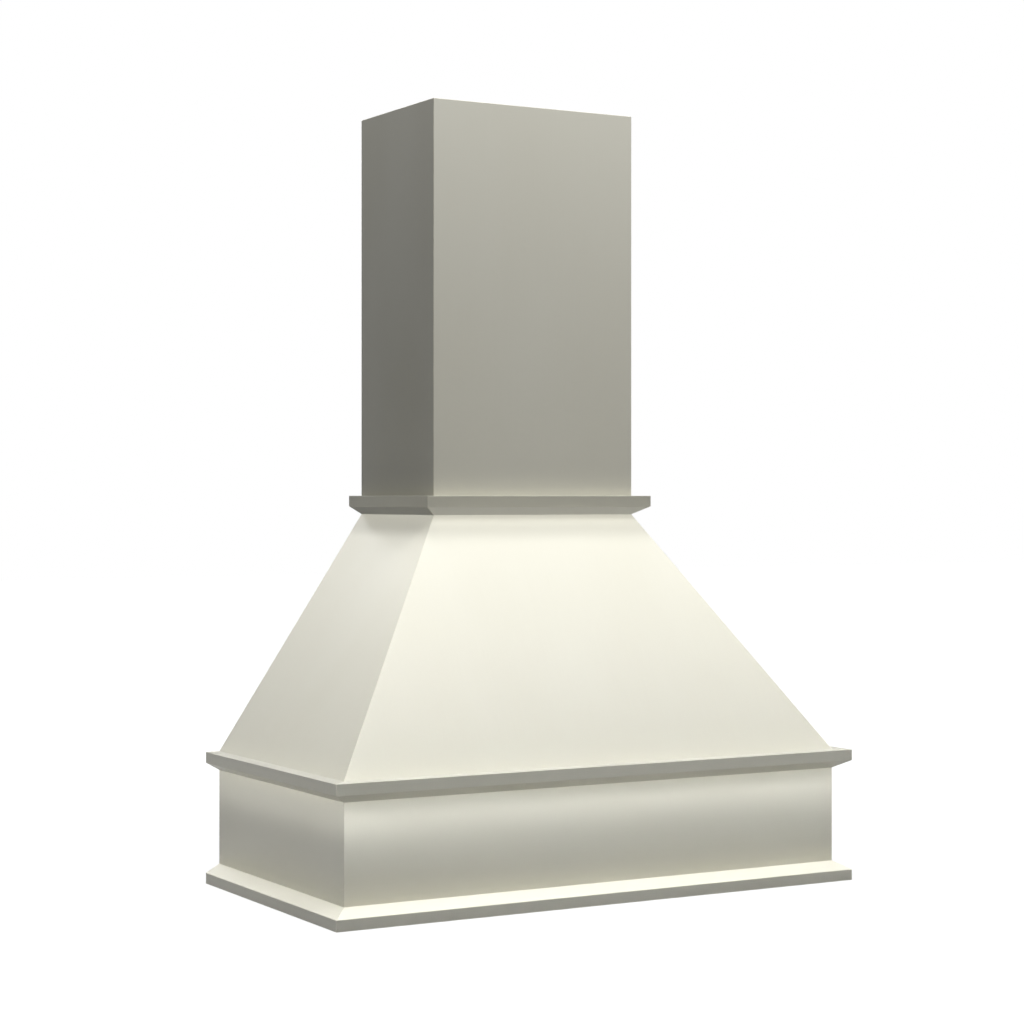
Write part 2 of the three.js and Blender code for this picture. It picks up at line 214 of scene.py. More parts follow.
film = {
    "cloud": (0.4, 0.18, 0.18), "streak": (0.12, 0.0022, 0.0022),
    "peel": (0.0024, 0.0024, 0.0024), "dust": (0.0011, 0.0011, 0.0011),
    "nibFoot": 0.80, "nibTop": 0.86,  # the dust noise makes a nib where it passes these
    "arrisTone": 0.35, "peelHeight": 0.55, "streakHeight": 0.5, "nibHeight": 0.5,
}


# sprayed paint: a fine orange peel, grain that telegraphs through, and slow changes of tone
def buildPaintFilm():
    given, give = newGroup("paintFilm", [
        ("Place", "Vector"), ("Paint", "Color"), ("Deep paint", "Color"), ("Arris", "Float"),
    ])
    place = given["Place"]
    cloud, streak = noiseOf(place, film["cloud"]), noiseOf(place, film["streak"])
    peel, dust = noiseOf(place, film["peel"], 1.5), noiseOf(place, film["dust"], 0.0)
    amount = plus(fade(cloud, 0.25, 0.75, 0.0, 0.35), ranged(streak, 0.0, 0.1))
    amount = plus(amount, times(given["Arris"], film["arrisTone"]))
    relief = plus(times(peel, film["peelHeight"]), times(streak, film["streakHeight"]))
    nibs = times(fade(dust, film["nibFoot"], film["nibTop"]), film["nibHeight"])
    return endGroup(give, blendColour(amount, given["Paint"], given["Deep paint"]),
                    plus(ranged(cloud, 0.4, 0.47), ranged(peel, -0.03, 0.03)), plus(relief, nibs))


# where paint has run over onto bare wood: near the wall, and near the underside
def buildPaintLap():
    given, give = newGroup("paintLap", [
        ("Place", "Vector"), ("Wall", "Float", 0.25), ("Width", "Float", 0.014),
    ], [("Amount", "Float")])
    axes = addNode(give[0].id_data, "ShaderNodeSeparateXYZ", {0: given["Place"]}).outputs
    ragged = noiseOf(given["Place"], (0.03, 0.03, 0.03), 4.0)
    reach = times(given["Width"], plus(ragged, 0.5))
    closest = calc("MINIMUM", minus(given["Wall"], axes["Y"]), axes["Z"])
    return endGroup(give, fade(over(closest, reach), 0.75, 1.15, 1.0, 0.0))


plated = {
    "cloud": (0.006, 0.006, 0.006), "scratch": (0.02, 0.0005, 0.0005),
    "spangleTone": 0.2, "spangleRoughness": 0.08, "spangleHeight": 0.3,
}


# plated steel: soft blotches, fine scratches and a little tarnish
def buildPlating():
    given, give = newGroup("plating", [
        ("Place", "Vector"), ("Metal", "Color"), ("Tarnish", "Color"), ("Blotch", "Float", 0.004),
    ])
    place = given["Place"]
    spots = derived("ShaderNodeTexVoronoi", {"Vector": place, "Scale": over(1.0, given["Blotch"])}, "Color")
    spangle = derived("ShaderNodeSeparateColor", {0: spots})
    cloud, scratch = noiseOf(place, plated["cloud"], 3.0), noiseOf(place, plated["scratch"])
    amount = plus(fade(cloud, 0.35, 0.75, 0.0, 0.6), times(spangle, plated["spangleTone"]))
    roughness = plus(fade(cloud, 0.3, 0.7, 0.26, 0.42), times(spangle, plated["spangleRoughness"]))
    return endGroup(give, blendColour(amount, given["Metal"], given["Tarnish"]), roughness,
                    plus(scratch, times(spangle, plated["spangleHeight"])))


print("cover: shader groups")
timberFigure, sheetFigure, paintFilm, paintLap, plating = (
    buildTimberFigure(), buildSheetFigure(), buildPaintFilm(), buildPaintLap(), buildPlating())


# a finish's inputs are those of its group; its mask is an input that a layer of the mesh gives
# a relief is the metres that the group's height stands for
paintCoat = {
    "group": paintFilm, "relief": 0.000035, "mask": ("Arris", "arris"), "specular": 0.3,
    "inputs": {"Paint": srgb(240, 238, 224), "Deep paint": srgb(234, 231, 215)},
}
bareTimber = {
    "group": timberFigure, "relief": 0.00004, "mask": ("End grain", "endGrain"),
    "inputs": {"Early wood": srgb(226, 196, 150), "Late wood": srgb(186, 138, 88),
               "Ring width": 3.4 * mm, "Waviness": 9 * mm},
}
bareSheet = {
    "group": sheetFigure, "relief": 0.00007, "plyThickness": 1.41 * mm,
    "inputs": {"Face": srgb(226, 200, 158), "Figure": srgb(207, 174, 128),
               "Cross ply": srgb(171, 130, 86), "Glue": srgb(112, 76, 46)},
}
steelPlate = {
    "group": plating, "relief": 0.00001, "metallic": 1.0,
    "inputs": {"Metal": (0.62, 0.63, 0.64, 1), "Tarnish": (0.42, 0.43, 0.44, 1), "Blotch": 3 * mm},
}
yellowPlate = {
    **steelPlate,
    "inputs": {"Metal": (0.66, 0.53, 0.27, 1), "Tarnish": (0.45, 0.33, 0.17, 1), "Blotch": 1.2 * mm},
}


def startMaterial(name):
    material = bpy.data.materials.new(name)
    material.use_nodes = True
    return material, material.node_tree, material.node_tree.nodes["Principled BSDF"].inputs


def readAttribute(tree, name, output):
    return outputOf(tree, "ShaderNodeAttribute", output=output, attribute_name=name)


def objectPlace(tree):
    return outputOf(tree, "ShaderNodeTexCoord", output="Object")


# lap is paint that ran over a bare finish's edges, where the piece is painted outside
def makeMaterial(name, finish, lap=False, more=()):
    material, tree, shader = startMaterial(name)
    place = objectPlace(tree) if "metallic" in finish else readAttribute(tree, "place", "Vector")
    inputs = {"Place": place, **finish["inputs"], **dict(more)}
    if "mask" in finish:
        label, layer = finish["mask"]
        inputs[label] = readAttribute(tree, layer, "Fac")
    look = addNode(tree, "ShaderNodeGroup", inputs, node_tree=finish["group"]).outputs
    colour = look["Colour"]
    if lap:
        spread = {"Place": objectPlace(tree), "Wall": wallY}
        amount = outputOf(tree, "ShaderNodeGroup", spread, node_tree=paintLap)
        colour = blendColour(amount, colour, paintCoat["inputs"]["Paint"])
    fill(shader["Base Color"], colour)
    fill(shader["Roughness"], look["Roughness"])
    fill(shader["Metallic"], finish.get("metallic", 0.0))
    fill(shader["Specular IOR Level"], finish.get("specular", 0.5))
    bump = {"Strength": 1.0, "Distance": finish["relief"], "Height": look["Height"]}
    fill(shader["Normal"], derived("ShaderNodeBump", bump))
    return material


def sizeOf(node):
    low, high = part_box(node)
    return high - low


# a sheet of a thickness has an odd number of plies
def pliesOf(thickness):
    count = 2 * round((thickness / bareSheet["plyThickness"] - 1) / 2) + 1
    return {"Thickness": thickness, "Plies": float(count)}


print("cover: finishes")
panelThickness, deckThickness = sizeOf("chimney_left").x, sizeOf("duct_deck").z
creamPaint = makeMaterial("creamPaint", paintCoat)
timber = makeMaterial("bareTimber", bareTimber)
timberInside = makeMaterial("bareTimberInside", bareTimber, lap=True)
sheetInside = makeMaterial("barePlywoodInside", bareSheet, lap=True, more=pliesOf(panelThickness))
deckSheet = makeMaterial("barePlywoodDeck", bareSheet, more=pliesOf(deckThickness))
zincSteel = makeMaterial("zincSteel", steelPlate)
yellowSteel = makeMaterial("yellowSteel", yellowPlate)


def newObject(name, content):
    thing = bpy.data.objects.new(name, content)
    scene.collection.objects.link(thing)
    return thing


def objectFrom(name, bm):
    mesh = bpy.data.meshes.new(name)
    bm.to_mesh(mesh)
    bm.free()
    return newObject(name, mesh)


# takes an object away and gives back its mesh to work on
def meshBack(thing):
    bm = bmesh.new()
    bm.from_mesh(thing.data)
    dropObject(thing)
    return bm


def dropObject(thing):
    mesh = thing.data
    bpy.data.objects.remove(thing)
    bpy.data.meshes.remove(mesh)


# puts what an object's modifiers make of it into its own mesh
def settle(thing):
    graph = bpy.context.evaluated_depsgraph_get()
    made = bpy.data.meshes.new_from_object(
        thing.evaluated_get(graph), preserve_all_data_layers=True, depsgraph=graph)
    thing.modifiers.clear()
    old, thing.data = thing.data, made
    bpy.data.meshes.remove(old)
    made.name = thing.name


# cuts one mesh by another and gives back what is left
def carve(bm, cutter):
    block, tool = objectFrom("block", bm), objectFrom("tool", cutter)
    holes = block.modifiers.new("holes", "BOOLEAN")
    holes.object, holes.operation, holes.solver = tool, "DIFFERENCE", "EXACT"
    settle(block)
    dropObject(tool)
    return meshBack(block)


# a frame at a point, whose z runs along a direction
def facing(point, direction):
    return Matrix.Translation(point) @ direction.to_track_quat("Z", "Y").to_matrix().to_4x4()


# turns a profile of (radius, height) about the z of a frame; it starts and ends on the axis
def turned(bm, profile, place, sides=32):
    turns = [2 * pi * k / sides for k in range(sides)]
    hoops = [[bm.verts.new(place @ Vector((radius * cos(t), radius * sin(t), height)))
              for t in (turns if radius else turns[:1])] for radius, height in profile]
    faces = []
    for lower, upper in zip(hoops, hoops[1:]):
        for k in range(sides):
            n = (k + 1) % sides
            hoop = [lower[k % len(lower)], lower[n % len(lower)],
                    upper[n % len(upper)], upper[k % len(upper)]]
            faces.append(bm.faces.new(list(dict.fromkeys(hoop))))
    bmesh.ops.recalc_face_normals(bm, faces=faces)


# a drilled hole: its mouth opens out to a wider radius over the sink's depth
def bore(bm, surface, outwards, radius, depth, mouth, sink, sides=32):
    clear = 2 * mm  # how far the cutter stands out of the surface
    profile = [(0, -depth), (radius, -depth), (radius, -sink), (mouth, 0), (mouth, clear), (0, clear)]
    turned(bm, profile, facing(surface, outwards), sides)


def easeEdges(bm, edges, width, segments=3):
    arris = bm.faces.layers.float.get("arris") or bm.faces.layers.float.new("arris")
    made = bmesh.ops.bevel(bm, geom=edges, offset=width, offset_type="OFFSET", segments=segments,
                           profile=0.5, affect="EDGES", clamp_overlap=True)
    for face in made["faces"]:
        face[arris] = 1.0


def cornerEdges(bm, least=radians(20)):
    return [edge for edge in bm.edges
            if len(edge.link_faces) == 2 and edge.is_convex and edge.calc_face_angle() > least]


# finishes a piece: crisp arrises, even normals, grain coordinates, looks, body and nodes
def finishPiece(name, bm, looks, nodes=(), grain=None):
    for layer in ("arris", "endGrain"):
        bm.faces.layers.float.get(layer) or bm.faces.layers.float.new(layer)
    endGrain = bm.faces.layers.float["endGrain"]
    for edge in bm.edges:
        edge.smooth = len(edge.link_faces) == 2 and edge.calc_face_angle() < sharpAngle
    for face in bm.faces:
        face.smooth = True
        face[endGrain] = 1.0 if grain and abs(face.normal.dot(grain["along"])) > endward else 0.0
    piece = objectFrom(name, bm)
    for look in looks:
        piece.data.materials.append(look)
    even = piece.modifiers.new("even", "WEIGHTED_NORMAL")
    even.keep_sharp = True
    settle(piece)
    if grain:
        place = piece.data.attributes.new("place", "FLOAT_VECTOR", "POINT")
        axes = Matrix((grain["along"], grain["across"], grain["through"]))
        for vertex, spot in zip(piece.data.vertices, place.data):
            spot.vector = axes @ (vertex.co - grain["origin"]) + grain["offset"]
    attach(piece, "root")
    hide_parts(*nodes)
    return piece


# the painted boards: each course has three, mitred at the two front corners
glueLine = 0.3 * mm
hairline = 0.06 * mm  # left open at each mitre
arrisWidth = 0.8 * mm
trimFace = 18.25 * mm
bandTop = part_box("band_front")[1].z
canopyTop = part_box("duct_deck")[1].z


# half the width of a course's outside, and its depth from the wall
def outsideOf(course):
    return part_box(f"{course}_right")[1].x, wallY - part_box(f"{course}_front")[0].y


bandOutside, chimneyOutside = outsideOf("band"), outsideOf("chimney")
canopyLean = [(wide - narrow) / (canopyTop - bandTop) for wide, narrow in zip(bandOutside, chimneyOutside)]
canopyLevel = [panelThickness * hypot(1, lean) for lean in canopyLean]  # the thickness measured level

# sides and corners of a section are numbered from the outer foot upwards: which sides are painted,
# and which corners are eased along the boards (eased) or up their front corners (arrises)
# degrees that the shading leans: up the outer faces at foot and top (crown), outwards on the faces
# that look up (ledge), and up a bevel below (bevelLean)
panels = {
    "painted": (0, 3), "arrises": (0,), "inside": sheetInside, "upright": True, "part": "panel",
    "ledge": 0, "filled": True,
}
strips = {
    "painted": (0, 1, 2), "arrises": (0, 1, 2), "eased": (1, 2), "inside": timberInside, "upright": False,
    "part": "strip", "crown": (-22, -22), "ledge": 42, "filled": False,
}
courses = {
    "band": {**panels, "eased": (0, 3), "inside": timberInside, "upright": False, "part": "board",
             "crown": (-42, 36)},
    "canopy": {**panels, "eased": (), "crown": (-16, 16)},
    "chimney": {**panels, "eased": (1, 2), "crown": (-6, 2)},
    "base_trim": {**strips, "against": bandOutside, "bevelOnTop": True, "filled": True},
    "cornice": {**strips, "against": bandOutside, "bevelOnTop": False},
    "upper_trim": {**strips, "against": chimneyOutside, "bevelOnTop": False, "bevelLean": 55},
}
filledOnes = bpy.data.collections.new("filledOnes")  # what the fill lamp lights


# a course's section: a loop of (half width, depth, height) from the outer foot upwards
def sectionOf(course, spec):
    low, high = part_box(f"{course}_front")
    if "against" in spec:
        half, depth = spec["against"]
        out = wallY - low.y - depth
        faceFoot = low.z if spec["bevelOnTop"] else high.z - trimFace
        return [(half, depth, low.z), (half + out, depth + out, faceFoot),
                (half + out, depth + out, faceFoot + trimFace), (half, depth, high.z)]
    foot = top = outsideOf(course)
    level, footZ = [high.y - low.y] * 2, low.z
    if course == "canopy":
        foot, top, level, footZ = bandOutside, chimneyOutside, canopyLevel, bandTop
    return [(*foot, footZ), (*top, high.z), (top[0] - level[0], top[1] - level[1], high.z),
            (foot[0] - level[0], foot[1] - level[1], footZ)]


# the course as one closed shell round the front and the sides, with its arrises eased
def courseShell(section, spec):
    bm = bmesh.new()
    turns = [(-1, 0), (-1, 1), (1, 1), (1, 0)]  # back left, front left, front right, back right
    loops = [[bm.verts.new((way * half, wallY - depth * front, z)) for half, depth, z in section]
             for way, front in turns]
    count = len(section)
    for near, far in zip(loops, loops[1:]):
        for i in range(count):
            face = bm.faces.new((near[i], near[(i + 1) % count], far[(i + 1) % count], far[i]))
            face.material_index = 0 if i in spec["painted"] else 1
    bm.faces.new(loops[0])
    bm.faces.new(loops[-1])
    bmesh.ops.recalc_face_normals(bm, faces=bm.faces)
    running = [(near[i], far[i]) for near, far in zip(loops, loops[1:]) for i in spec["eased"]]
    standing = [(loop[i], loop[(i + 1) % count]) for loop in loops for i in spec["arrises"]]
    edges = [bm.edges.get(pair) for pair in running + standing]
    easeEdges(bm, [edge for edge in edges if edge.calc_face_angle() > radians(5)], arrisWidth)
    return bm


# takes off what lies on the far side of a plane, and closes the cut with bare wood
def sliceOff(bm, point, normal):
    everything = bm.verts[:] + bm.edges[:] + bm.faces[:]
    made = bmesh.ops.bisect_plane(bm, geom=everything, dist=1e-7, plane_co=point, plane_no=normal,
                                  clear_outer=True)
    rim = [item for item in made["geom_cut"] if isinstance(item, bmesh.types.BMEdge)]
    bmesh.ops.edgeloop_fill(bm, edges=rim, mat_nr=1)
    bmesh.ops.recalc_face_normals(bm, faces=bm.faces)


# the plane of the mitre at a front corner, its normal towards the front board
def mitreOf(section, way):
    a, b, c = (Vector((way * half, wallY - depth, z)) for half, depth, z in section[:3])
    normal = (b - a).cross(c - a).normalized()
    return a, normal if normal.x * way < 0 else -normal


boardLog = {  # where a board is cut from its log: ranges in metres from the pith
    "sheetAcross": (-1, 1), "across": (-0.05, 0.05), "through": (0.03, 0.09), "along": (0, 3),
}


def boardGrain(spec, outwards, corner):
    level = outwards.cross(upwards).normalized()
    rise = level.cross(outwards)
    along, across = (rise, level) if spec["upright"] else (level, rise)
    if spec["inside"] is sheetInside:
        corner = corner - outwards * panelThickness
        pith = dice.uniform(*boardLog["sheetAcross"]), 0
    else:
        pith = dice.uniform(*boardLog["across"]), dice.uniform(*boardLog["through"])
    return {"along": along, "across": across, "through": outwards, "origin": corner,
            "offset": Vector((dice.uniform(*boardLog["along"]), *pith))}


# leans the normals of the faces that look one way, by one angle at their foot and another at their top
def leanFaces(piece, outwards, towards, foot, top):
    mesh = piece.data
    normals = [Vector(corner.vector) for corner in mesh.corner_normals]
    for face in mesh.polygons:
        if face.normal.dot(outwards) > sameWay:
            heights = [mesh.vertices[i].co.z for i in face.vertices]
            low, high = min(heights), max(heights)
            for corner in face.loop_indices:
                share = (mesh.vertices[mesh.loops[corner].vertex_index].co.z - low) / max(high - low, mm)
                lean = radians(foot + (top - foot) * share)
                normals[corner] = outwards * cos(lean) + towards * sin(lean)
    mesh.normals_split_custom_set(normals)


# the steepest way up a face
def upAlong(normal):
    return normal.cross(upwards).cross(normal).normalized()


def makeCourse(course, spec):
    section = sectionOf(course, spec)
    shell = courseShell(section, spec)
    (h0, d0, z0), (h1, d1, z1) = section[1:3] if spec["part"] == "strip" else section[:2]  # the outer face
    mitres = {way: mitreOf(section, way) for way in sideWay.values()}
    for side, way in {"front": 0, **sideWay}.items():
        bm = shell.copy()
        for which, (point, normal) in mitres.items():
            if side == "front":
                sliceOff(bm, point + normal * hairline / 2, -normal)
            elif which == way:
                sliceOff(bm, point - normal * hairline / 2, normal)
            else:
                sliceOff(bm, Vector(), rightwards * -way)
        if side == "front":
            outwards = Vector((0, z0 - z1, d0 - d1)).normalized()
            corner = Vector((0, wallY - d0, z0))
        else:
            outwards = Vector((way * (z1 - z0), 0, h0 - h1)).normalized()
            corner = Vector((way * h0, wallY, z0))
        grain = boardGrain(spec, outwards, corner)
        name, looks = f"{course}_{side}_{spec['part']}", (creamPaint, spec["inside"])
        board = finishPiece(name, bm, looks, [f"{course}_{side}"], grain)
        leanFaces(board, outwards, upAlong(outwards), *spec["crown"])
        leanFaces(board, upwards, outwards, spec["ledge"], spec["ledge"])
        if "bevelLean" in spec:
            out, rise = section[1][0] - section[0][0], section[1][2] - section[0][2]
            beneath = (outwards * rise - upwards * out).normalized()
            leanFaces(board, beneath, upAlong(beneath), spec["bevelLean"], spec["bevelLean"])
        if spec["filled"]:
            filledOnes.objects.link(board)
    shell.free()


print("cover: painted boards")
for course, spec in courses.items():
    makeCourse(course, spec)


# the outline of a CAD node without its holes, as merged flat faces
def blankOf(node):
    bm = bmesh.new()
    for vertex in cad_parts[node].data.vertices:
        bm.verts.new(vertex.co)
    bmesh.ops.remove_doubles(bm, verts=bm.verts, dist=0.01 * mm)
    hull = bmesh.ops.convex_hull(bm, input=bm.verts)
    unused = hull["geom_interior"] + hull["geom_unused"]
    spare = {item for item in unused if isinstance(item, bmesh.types.BMVert)}
    bmesh.ops.delete(bm, geom=list(spare), context="VERTS")
    bmesh.ops.dissolve_limit(bm, angle_limit=radians(1), verts=bm.verts, edges=bm.edges)
    bmesh.ops.recalc_face_normals(bm, faces=bm.faces)
    return bm


def middleOf(spots):
    return sum(spots, Vector()) / len(spots)


# the corners at a piece's foot, and those at its head
def endsOf(node, bm):
    low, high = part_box(node)
    spots = [vertex.co for vertex in bm.verts]
    return [spot for spot in spots if spot.z < low.z + mm], [spot for spot in spots if spot.z > high.z - mm]


framingLog = {"along": (0, 3), "across": (-0.04, 0.04), "through": (0.03, 0.08)}


# grain runs along the longest way, and along the slope of a piece that leans
def timberGrain(node, bm):
    low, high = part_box(node)
    longest = max(range(3), key=lambda axis: high[axis] - low[axis])
    along = Vector([axis == longest for axis in range(3)])
    if longest == 2:
        foot, head = (middleOf(spots) for spots in endsOf(node, bm))
        along = (head - foot).normalized()
    across = along.cross(rightwards if longest == 1 else backwards).normalized()
    offset = (dice.uniform(*framingLog["along"]), dice.uniform(*framingLog["across"]),
              dice.choice((-1, 1)) * dice.uniform(*framingLog["through"]))
    return {"along": along, "across": across, "through": along.cross(across), "origin": (low + high) / 2,
            "offset": Vector(offset)}


timberArris = 1.0 * mm
timberNodes = [
    "band_rail", "canopy_rail", "chimney_lower_rail", "chimney_upper_rail", "canopy_front_rib",
    *(f"liner_ledger_{side}" for side in ("front", "back", "left", "right")),
    *(f"{ring}_batten_{side}" for ring in ("foot", "top") for side in ("front", "left", "right")),
    *(f"{part}_{side}" for part in ("band_corner_block", "hip_batten", "chimney_corner_batten")
      for side in sideWay),
]
wallHoles = {  # clearance holes for the screws into the wall
    "diameter": 6 * mm, "leastEdge": 25 * mm, "mouth": 0.4 * mm,
    "pitch": {"band_rail": 203.2 * mm, "canopy_rail": 152.4 * mm,
              "chimney_lower_rail": 101.6 * mm, "chimney_upper_rail": 101.6 * mm},
}
pockets = {  # slanting holes for the screws into a rail's ends
    "diameter": 9.5 * mm, "reach": 40 * mm, "stop": 9 * mm, "inset": 20 * mm,
    "rows": {**{node: 2 for node in wallHoles["pitch"]}, "liner_ledger_back": 1},
}
framingScrew = {"length": 30 * mm, "shank": 4.2 * mm, "head": 8 * mm, "sink": 2.6 * mm, "thread": 22 * mm}
pocketScrew = {"length": 22 * mm, "shank": 4.2 * mm, "head": 8 * mm, "sink": 2.6 * mm, "thread": 17 * mm}
bracketScrew = {"length": 14 * mm, "shank": 3.8 * mm, "head": 7.2 * mm, "sink": 2 * mm, "thread": 11 * mm}
screwHole = {"depth": 40 * mm, "clearance": 0.3 * mm}
framingScrews = {  # node to the batten or ledger that it holds, and the way it is driven
    **{f"ledger_screw_front_{i}": ("liner_ledger_front", -backwards) for i in (1, 2, 3)},
    **{f"ledger_screw_{side}_{i}": (f"liner_ledger_{side}", rightwards * way)
       for side, way in sideWay.items() for i in (1, 2)},
    **{f"foot_screw_{side}_{i}": (f"foot_batten_{side}", -upwards)
       for side in ("front", "left", "right") for i in (1, 2)},
}
pocketSeats = []  # the point and the way out for each pocket's screw


# the middle of a screw's head, from its node's box
def headOf(node, way):
    low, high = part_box(node)
    return (low + high) / 2 - way * abs((high - low).dot(way)) / 2


# half the width of a rail at a height; the canopy's rail narrows upwards
def railHalf(node, bm, z):
    low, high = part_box(node)
    foot, top = (max(spot.x for spot in spots) for spots in endsOf(node, bm))
    return foot + (top - foot) * (z - low.z) / (high.z - low.z)


def drillWallHoles(cutter, node, bm):
    low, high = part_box(node)
    level, pitch = (low.z + high.z) / 2, wallHoles["pitch"][node]
    count = floor((railHalf(node, bm, level) - wallHoles["leastEdge"]) / pitch)
    radius, mouth = wallHoles["diameter"] / 2, wallHoles["mouth"]
    for i in range(-count, count + 1):
        surface = Vector((i * pitch, low.y, level))
        bore(cutter, surface, -backwards, radius, high.y - low.y + mm, radius + mouth, mouth)


def drillPockets(cutter, node, bm):
    low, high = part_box(node)
    levels = [low.z + pockets["inset"], high.z - pockets["inset"]]
    if pockets["rows"][node] == 1:
        levels = [(low.z + high.z) / 2]
    radius = pockets["diameter"] / 2
    for z in levels:
        half = railHalf(node, bm, z)
        for way in sideWay.values():
            bottom = Vector((way * (half - pockets["stop"]), (low.y + high.y) / 2, z))
            mouth = Vector((way * (half - pockets["reach"]), low.y, z))
            out = mouth - bottom
            wayOut, beyond = out.normalized(), 2 * out.length
            profile = [(0, 0), (radius, 0), (radius, beyond), (0, beyond)]
            turned(cutter, profile, facing(bottom, wayOut))
            pocketSeats.append((bottom + wayOut * pocketScrew["sink"], wayOut))


def makeTimber(node):
    bm = blankOf(node)
    grain = timberGrain(node, bm)
    cutter = bmesh.new()
    if node in wallHoles["pitch"]:
        drillWallHoles(cutter, node, bm)
    if node in pockets["rows"]:
        drillPockets(cutter, node, bm)
    for screw, (held, way) in framingScrews.items():
        if held == node:
            surface = headOf(screw, way) - way * glueLine
            bore(cutter, surface, -way, framingScrew["shank"] / 2, screwHole["depth"],
                 framingScrew["head"] / 2 + screwHole["clearance"], framingScrew["sink"])
    easeEdges(bm, cornerEdges(bm), timberArris)
    if cutter.faces:
        bm = carve(bm, cutter)
    finishPiece(f"{node}_timber", bm, [timber], [node], grain)


deckBoard = {"hole": 210 * mm, "holeArris": 0.8 * mm, "holeSides": 128, "arris": 0.5 * mm}


def makeDeck():
    low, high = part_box("duct_deck")
    bm = blankOf("duct_deck")
    easeEdges(bm, cornerEdges(bm), deckBoard["arris"])
    cutter = bmesh.new()
    middle = (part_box("chimney_lower_rail")[0].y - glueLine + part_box("foot_batten_front")[1].y) / 2
    radius, arris = deckBoard["hole"] / 2, deckBoard["holeArris"]
    bore(cutter, Vector((0, middle, high.z)), upwards, radius, high.z - low.z + mm, radius + arris, arris,
         deckBoard["holeSides"])
    across = dice.uniform(*framingLog["along"]), dice.uniform(*boardLog["sheetAcross"])
    grain = {"along": rightwards, "across": backwards, "through": upwards,
             "origin": Vector((0, middle, low.z)), "offset": Vector((*across, 0))}
    finishPiece("duct_deck_board", carve(bm, cutter), [deckSheet], ["duct_deck"], grain)


print("cover: timber and deck")
for node in timberNodes:
    makeTimber(node)
makeDeck()


bracket = {
    "leg": 40 * mm, "width": 16 * mm, "steel": 2 * mm, "bend": 3.5 * mm, "tip": 4 * mm,
    "hole": 4.5 * mm, "reach": 26 * mm, "edge": 0.25 * mm, "clearance": 0.1 * mm, "sink": 1.6 * mm,
}
brackets = {  # the ways of the two legs from the bend
    "band_bracket": lambda way: (rightwards * -way, -backwards),
    "deck_bracket": lambda way: (-backwards, -upwards),
}
bracketSeats = []


def arc(radius, start, end, steps=6):
    turns = [radians(start + (end - start) * k / steps) for k in range(steps + 1)]
    bend = bracket["bend"]
    return [(bend + radius * cos(t), bend + radius * sin(t)) for t in turns]


def bracketBlank():
    leg, steel, bend = bracket["leg"], bracket["steel"], bracket["bend"]
    outline = [(leg, 0), (leg, steel), *arc(bend - steel, 270, 180),
               (steel, leg), (0, leg), *arc(bend, 180, 270)]
    bm = bmesh.new()
    half = bracket["width"] / 2
    ends = [[bm.verts.new((u, v, w)) for u, v in outline] for w in (-half, half)]
    for i, (near, far) in enumerate(zip(*ends)):
        bm.faces.new((near, far, ends[1][i - 1], ends[0][i - 1]))
    bm.faces.new(ends[0])
    bm.faces.new(ends[1])
    bmesh.ops.recalc_face_normals(bm, faces=bm.faces)
    tips = [bm.edges.get((end[i], end[i + 1])) for end in ends for i in (0, outline.index((steel, leg)))]
    bmesh.ops.bevel(bm, geom=tips, offset=bracket["tip"], offset_type="OFFSET", segments=6, profile=0.5,
                    affect="EDGES")
    easeEdges(bm, cornerEdges(bm, radians(50)), bracket["edge"], 2)
    cutter = bmesh.new()
    for u, v in ((1, 0), (0, 1)):
        surface = Vector((u * bracket["reach"] + v * steel, v * bracket["reach"] + u * steel, 0))
        bore(cutter, surface, Vector((v, u, 0)), bracket["hole"] / 2, 2 * steel,
             bracketScrew["head"] / 2 + bracket["clearance"], bracket["sink"])
    return carve(bm, cutter)


def makeBracket(kind, side):
    node = f"{kind}_{side}"
    low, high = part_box(node)
    first, second = brackets[kind](sideWay[side])
    legs = first + second
    bend = Vector([high[i] if legs[i] < 0 else low[i] for i in range(3)])
    across = first.cross(second)
    bend -= across * (bend - (low + high) / 2).dot(across)
    place = Matrix((first, second, across)).transposed().to_4x4()
    place.translation = bend
    bm = bracketBlank()
    bmesh.ops.transform(bm, matrix=place, verts=bm.verts)
    for leg, other in ((first, second), (second, first)):
        bracketSeats.append((bend + leg * bracket["reach"] + other * bracket["steel"], other))
    finishPiece(f"{node}_steel", bm, [zincSteel], [node])


print("cover: brackets")
for kind in brackets:
    for side in sideWay:
        makeBracket(kind, side)


# a geometry node's output, where its inputs' names have _ for a space
def shapeOf(kind, **inputs):
    return derived("GeometryNode" + kind, {label.replace("_", " "): value for label, value in inputs.items()})


def vectorOf(*axes):
    return derived("ShaderNodeCombineXYZ", dict(enumerate(axes)))


def lifted(shape, z):
    return shapeOf("Transform", Geometry=shape, Translation=vectorOf(0, 0, z))


def joined(*shapes):
    node = addNode(shapes[0].id_data, "GeometryNodeJoinGeometry")
    for shape in shapes:
        fill(node.inputs[0], shape)
    return node.outputs[0]


# a shape at points, made real: its z runs along their aim, and it's turned about it at random
def scatter(points, shape, given, least, most):
    aim = outputOf(points.id_data, "GeometryNodeInputNamedAttribute", {"Name": "aim"},
                   data_type="FLOAT_VECTOR")
    upright = derived("FunctionNodeAlignRotationToVector", {"Vector": aim}, axis="Z")
    spin = derived("FunctionNodeRandomValue", {2: least, 3: most, 8: given["Seed"]}, 1, data_type="FLOAT")
    turn = derived("FunctionNodeEulerToRotation", {0: vectorOf(0, 0, spin)})
    rotation = derived("FunctionNodeRotateRotation", {0: upright, 1: turn}, rotation_space="LOCAL")
    instances = shapeOf("InstanceOnPoints", Points=points, Instance=shape, Rotation=rotation)
    real = shapeOf("RealizeInstances", Geometry=instances)
    return shapeOf("SetMaterial", Geometry=real, Material=given["Finish"])


